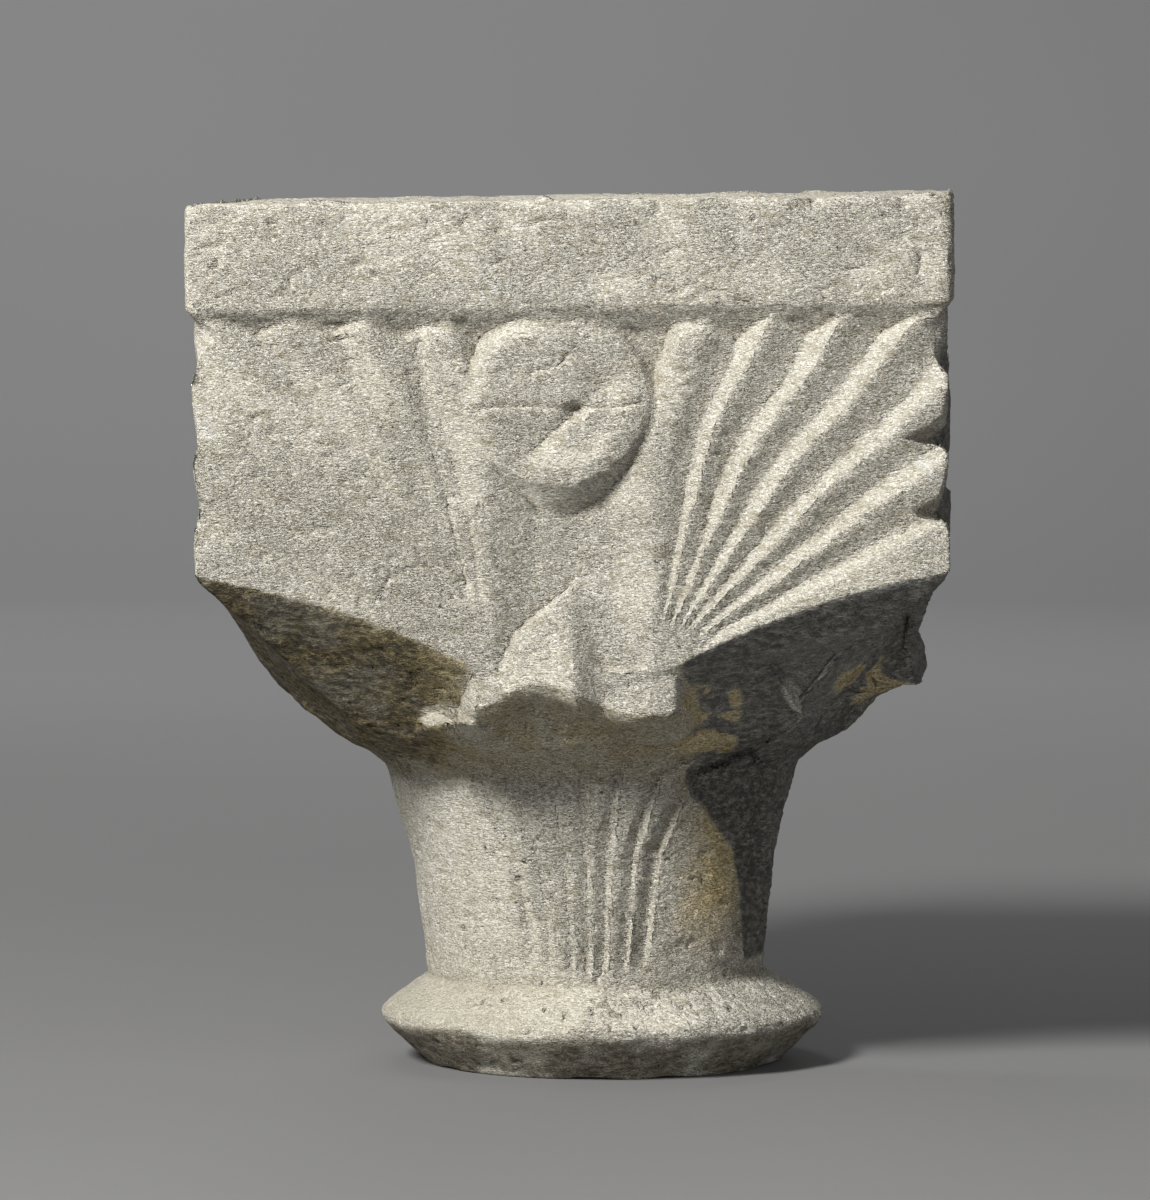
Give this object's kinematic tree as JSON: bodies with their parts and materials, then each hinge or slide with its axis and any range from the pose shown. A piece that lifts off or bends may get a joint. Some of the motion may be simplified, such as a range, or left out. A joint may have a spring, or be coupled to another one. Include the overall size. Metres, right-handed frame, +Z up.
{
  "type": "column capital",
  "caption": "Weathered sandstone column capital with a square slab, fan leaves, petal bosses, folded leaves, a round neck and a bevelled foot ring.",
  "frame": {"origin": "centre of the round lower bed", "axes": "+Z up through the block, the front face with its crisp right fan looks along -Y, +X to the viewer's right"},
  "size_m": [0.3315, 0.331, 0.393],
  "materials": {
    "sandstone": "weathered, grainy, with a black crust on one side"
  },
  "bodies": {
    "root": {"sandstone_capital": "sandstone"}
  },
  "joints": []
}
